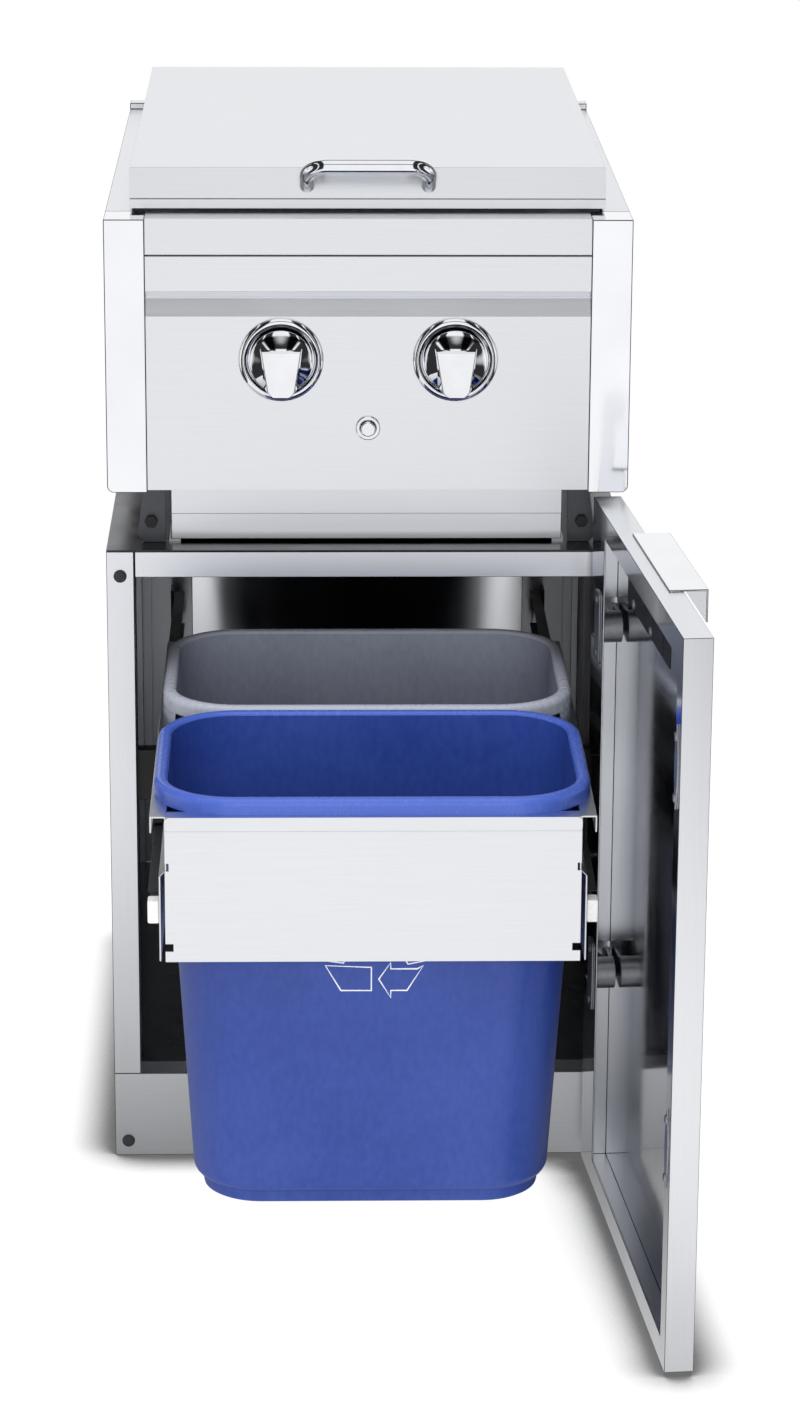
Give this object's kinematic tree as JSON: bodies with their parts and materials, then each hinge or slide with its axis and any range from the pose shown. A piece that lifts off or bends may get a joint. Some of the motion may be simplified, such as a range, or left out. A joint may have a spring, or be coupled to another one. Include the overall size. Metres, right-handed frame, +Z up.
{
  "type": "outdoor kitchen cabinet",
  "caption": "Narrow stainless outdoor kitchen cabinet with a lidded drop-in side burner on top, a hinged pan door and a pull-out carrier that holds waste bins.",
  "frame": {"origin": "middle of the cabinet's base, on the floor", "axes": "+Z up, the front faces -Y, +X to the right seen from the front"},
  "size_m": [0.4962, 1.078, 0.9204],
  "materials": {
    "brushed_stainless": "brushed stainless sheet",
    "polished_steel": "polished stainless",
    "zinc_steel": "zinc plated",
    "chrome": "polished chrome",
    "black_steel": "black coated",
    "cast_iron": "matte",
    "brass": "machined",
    "black_rubber": "matte",
    "white_plastic": "moulded",
    "blue_plastic": "moulded, satin",
    "grey_plastic": "moulded, satin"
  },
  "bodies": {
    "cabinet": {"left_stile": "brushed_stainless", "right_stile": "brushed_stainless", "left_side_panel": "brushed_stainless", "right_side_panel": "brushed_stainless", "top_rail": "brushed_stainless", "kick_plate": "brushed_stainless", "floor_panel": "brushed_stainless", "rear_posts": "brushed_stainless", "back_panel": "brushed_stainless", "deck_panel": "brushed_stainless", "control_panel": "brushed_stainless", "side_rail_left": "brushed_stainless", "side_rail_right": "brushed_stainless", "rear_rail": "brushed_stainless", "firebox": "brushed_stainless", "leg_brackets": "brushed_stainless", "tray_runners": "brushed_stainless", "burner_post_left": "polished_steel", "burner_post_right": "polished_steel", "slide_cabinet_members": "zinc_steel", "slide_brackets": "zinc_steel", "leg_bolts": "zinc_steel", "lid_hinge_pins": "zinc_steel", "lid_hinge_ears": "zinc_steel", "igniter_electrodes": "zinc_steel", "gas_manifold": "zinc_steel", "knob_bezels": "chrome", "igniter_body": "chrome", "hinge_arms": "black_steel", "burner_heads": "cast_iron", "burner_caps": "cast_iron", "cooking_grate": "cast_iron", "gas_valves": "brass", "gas_inlet": "brass", "door_bumpers": "black_rubber"},
    "slide_middle": {"slide_middle_members": "zinc_steel"},
    "carrier": {"carrier_front": "brushed_stainless", "carrier_side_left": "brushed_stainless", "carrier_side_right": "brushed_stainless", "carrier_rear": "brushed_stainless", "carrier_crossbar": "brushed_stainless", "slide_carrier_members": "zinc_steel", "slide_end_blocks": "white_plastic"},
    "blue_bin": {"blue_bin": "blue_plastic"},
    "grey_bin": {"grey_bin": "grey_plastic"},
    "door": {"door_pan": "brushed_stainless", "door_pull": "brushed_stainless", "hinge_cups": "chrome", "hinge_pins": "zinc_steel", "strike_plates": "chrome", "door_screws": "zinc_steel", "door_top_bracket": "black_steel"},
    "stem_left": {"valve_stem_left": "zinc_steel"},
    "stem_right": {"valve_stem_right": "zinc_steel"},
    "knob_left": {"knob_left": "chrome"},
    "knob_right": {"knob_right": "chrome"},
    "igniter_button": {"igniter_button": "chrome"},
    "drip_tray": {"drip_tray": "brushed_stainless"},
    "lid": {"lid_shell": "brushed_stainless", "lid_handle": "chrome"}
  },
  "joints": [
    {"name": "carrier_slide", "type": "slide", "parent": "cabinet", "child": "carrier", "axis": [0, -1, 0], "range_m": [-0.355, 0.18]},
    {"name": "slide_middle_travel", "type": "slide", "parent": "cabinet", "child": "slide_middle", "axis": [0, -1, 0], "range_m": [-0.1775, 0.09]},
    {"name": "blue_bin_lift", "type": "slide", "parent": "carrier", "child": "blue_bin", "axis": [0, 0, 1], "range_m": [0, 0.38]},
    {"name": "grey_bin_lift", "type": "slide", "parent": "carrier", "child": "grey_bin", "axis": [0, 0, 1], "range_m": [0, 0.08]},
    {"name": "door_swing", "type": "hinge", "parent": "cabinet", "child": "door", "pos_m": [0.2157, -0.3174, 0.36], "axis": [0, 0, 1], "range_deg": [-6, 15]},
    {"name": "knob_left_turn", "type": "hinge", "parent": "cabinet", "child": "stem_left", "pos_m": [-0.0746, -0.32, 0.75], "axis": [0, -1, 0], "range_deg": [0, 180]},
    {"name": "knob_left_push", "type": "slide", "parent": "stem_left", "child": "knob_left", "axis": [0, 1, 0], "range_m": [0, 0.004], "stiffness_N_per_m": 800},
    {"name": "knob_right_turn", "type": "hinge", "parent": "cabinet", "child": "stem_right", "pos_m": [0.0746, -0.32, 0.75], "axis": [0, -1, 0], "range_deg": [0, 180]},
    {"name": "knob_right_push", "type": "slide", "parent": "stem_right", "child": "knob_right", "axis": [0, 1, 0], "range_m": [0, 0.004], "stiffness_N_per_m": 800},
    {"name": "igniter_push", "type": "slide", "parent": "cabinet", "child": "igniter_button", "axis": [0, 1, 0], "range_m": [0, 0.004], "stiffness_N_per_m": 500},
    {"name": "drip_tray_slide", "type": "slide", "parent": "cabinet", "child": "drip_tray", "axis": [0, 1, 0], "range_m": [-0.3, 0]},
    {"name": "lid_hinge", "type": "hinge", "parent": "cabinet", "child": "lid", "pos_m": [0, 0.295, 0.883], "axis": [-1, 0, 0], "range_deg": [0, 95]}
  ],
  "couplings": [
    {"joint": "slide_middle_travel", "follows": "carrier_slide", "ratio": 0.5}
  ]
}
